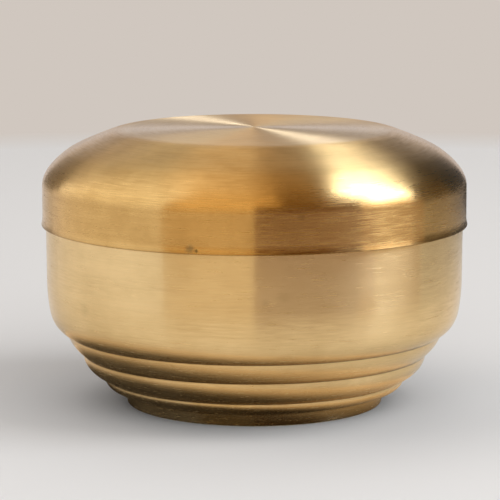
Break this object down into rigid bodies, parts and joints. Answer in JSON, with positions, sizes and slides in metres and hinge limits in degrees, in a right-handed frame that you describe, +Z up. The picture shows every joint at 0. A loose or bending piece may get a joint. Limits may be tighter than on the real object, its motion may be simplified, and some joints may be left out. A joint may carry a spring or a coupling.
{
  "type": "spice box",
  "caption": "Round brass spice box with a stepped base, a domed lift-off lid, a lift-out plate, straight spice cups and a small spoon.",
  "frame": {"origin": "centre of the foot, on the surface that the box stands on", "axes": "+Z up through the middle of the lid; the spoon lies along X with its dish towards -X"},
  "size_m": [0.2, 0.2, 0.1301],
  "materials": {
    "bowl_brass": "satin, fine turned lines around the body",
    "lid_brass": "satin, fine turned lines, bright where it is handled",
    "tray_brass": "satin, turned on the lathe",
    "cup_brass": "satin outside, polished bead",
    "spoon_brass": "polished"
  },
  "bodies": {
    "bowl": {"bowl": "bowl_brass"},
    "lid": {"lid": "lid_brass"},
    "tray": {"lift_out_tray": "tray_brass"},
    "spoon": {"spoon": "spoon_brass"},
    "cup_centre": {"cup_centre": "cup_brass"},
    "cup_1": {"cup_1": "cup_brass"},
    "cup_2": {"cup_2": "cup_brass"},
    "cup_3": {"cup_3": "cup_brass"},
    "cup_4": {"cup_4": "cup_brass"},
    "cup_5": {"cup_5": "cup_brass"},
    "cup_6": {"cup_6": "cup_brass"}
  },
  "joints": [
    {"name": "lid_lift", "type": "slide", "parent": "bowl", "child": "lid", "axis": [0, 0, 1], "range_m": [0, 0.25]},
    {"name": "tray_lift", "type": "slide", "parent": "bowl", "child": "tray", "axis": [0, 0, 1], "range_m": [0, 0.0875]},
    {"name": "spoon_lift", "type": "slide", "parent": "tray", "child": "spoon", "axis": [0, 0, 1], "range_m": [0, 0.1]},
    {"name": "cup_centre_lift", "type": "slide", "parent": "tray", "child": "cup_centre", "axis": [0, 0, 1], "range_m": [0, 0.06]},
    {"name": "cup_1_lift", "type": "slide", "parent": "tray", "child": "cup_1", "axis": [0, 0, 1], "range_m": [0, 0.05]},
    {"name": "cup_2_lift", "type": "slide", "parent": "tray", "child": "cup_2", "axis": [0, 0, 1], "range_m": [0, 0.05]},
    {"name": "cup_3_lift", "type": "slide", "parent": "tray", "child": "cup_3", "axis": [0, 0, 1], "range_m": [0, 0.05]},
    {"name": "cup_4_lift", "type": "slide", "parent": "tray", "child": "cup_4", "axis": [0, 0, 1], "range_m": [0, 0.05]},
    {"name": "cup_5_lift", "type": "slide", "parent": "tray", "child": "cup_5", "axis": [0, 0, 1], "range_m": [0, 0.05]},
    {"name": "cup_6_lift", "type": "slide", "parent": "tray", "child": "cup_6", "axis": [0, 0, 1], "range_m": [0, 0.05]}
  ],
  "couplings": [
    {"joint": "tray_lift", "follows": "lid_lift", "ratio": 0.35},
    {"joint": "spoon_lift", "follows": "lid_lift", "ratio": 0.4},
    {"joint": "cup_centre_lift", "follows": "lid_lift", "ratio": 0.24},
    {"joint": "cup_1_lift", "follows": "lid_lift", "ratio": 0.2},
    {"joint": "cup_2_lift", "follows": "lid_lift", "ratio": 0.2},
    {"joint": "cup_3_lift", "follows": "lid_lift", "ratio": 0.2},
    {"joint": "cup_4_lift", "follows": "lid_lift", "ratio": 0.2},
    {"joint": "cup_5_lift", "follows": "lid_lift", "ratio": 0.2},
    {"joint": "cup_6_lift", "follows": "lid_lift", "ratio": 0.2}
  ]
}
